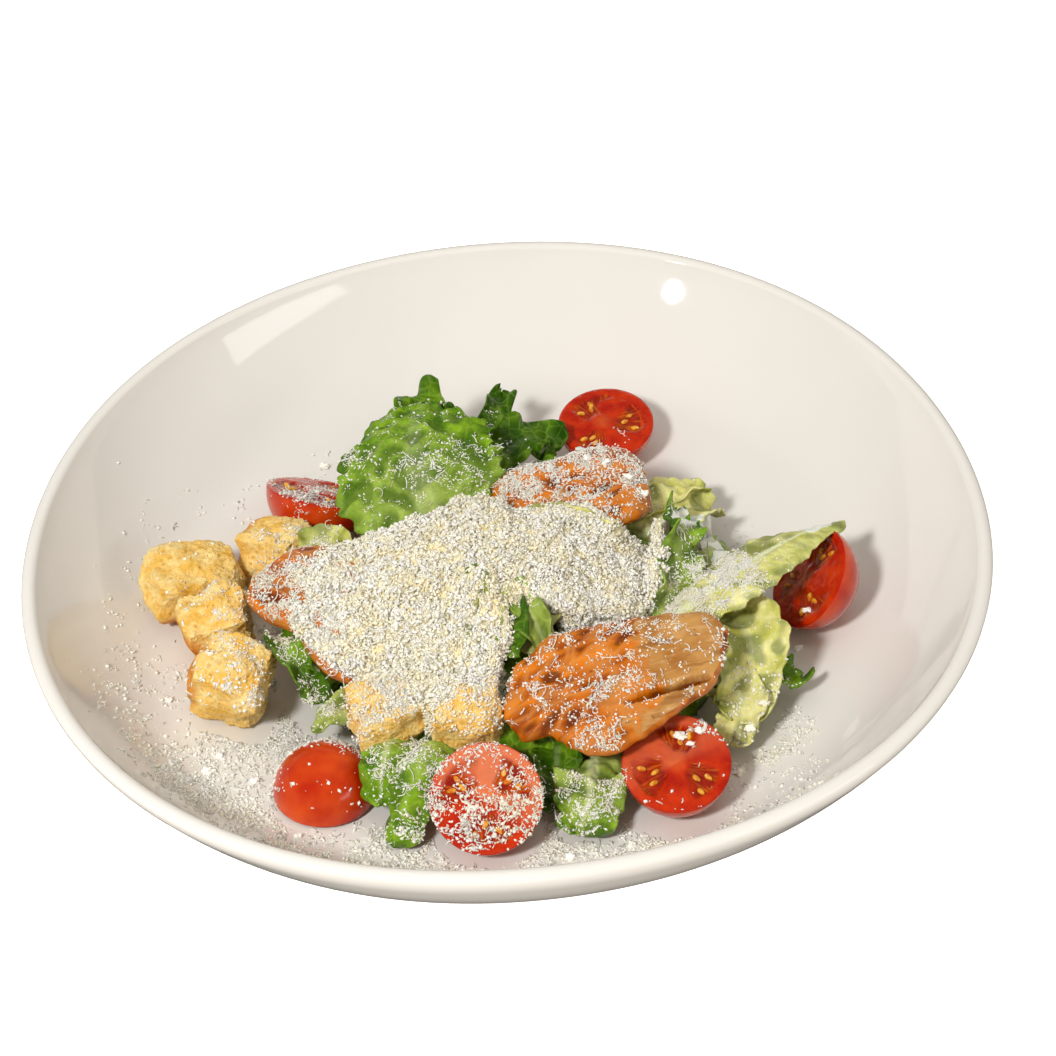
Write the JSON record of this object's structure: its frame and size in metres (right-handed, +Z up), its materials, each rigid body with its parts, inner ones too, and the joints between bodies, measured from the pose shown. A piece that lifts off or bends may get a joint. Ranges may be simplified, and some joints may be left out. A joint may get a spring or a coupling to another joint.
{
  "type": "chicken caesar salad in a bowl",
  "caption": "Chicken caesar salad with grated parmesan, croutons and cherry tomato halves, served in a wide shallow white coupe bowl.",
  "frame": {"origin": "bottom centre of the bounding box, which is the centre of the bowl's foot on the surface that it stands on", "axes": "+Z up along the bowl's axis; -Y towards the side of the salad that the picture looks from, +X to its right"},
  "size_m": [0.2642, 0.2642, 0.0513],
  "materials": {
    "porcelain": "glossy white glaze",
    "lettuce": "fresh leaf, slightly waxy",
    "parmesan": "dry grated cheese",
    "chicken": "fried golden brown, slightly oily",
    "tomato": "wet red flesh and shiny skin",
    "crouton": "dry toasted bread"
  },
  "bodies": {
    "root": {"bowl": "porcelain", "lettuce": "lettuce", "parmesan": "parmesan", "chicken_front": "chicken", "chicken_left": "chicken", "chicken_back": "chicken", "tomato_back_right": "tomato", "tomato_back_left": "tomato", "tomato_right": "tomato", "tomato_front_right": "tomato", "tomato_front_centre": "tomato", "tomato_front_left": "tomato", "crouton_left": "crouton", "crouton_back": "crouton", "crouton_middle": "crouton", "crouton_front": "crouton", "crouton_centre_left": "crouton", "crouton_centre": "crouton"}
  },
  "joints": []
}
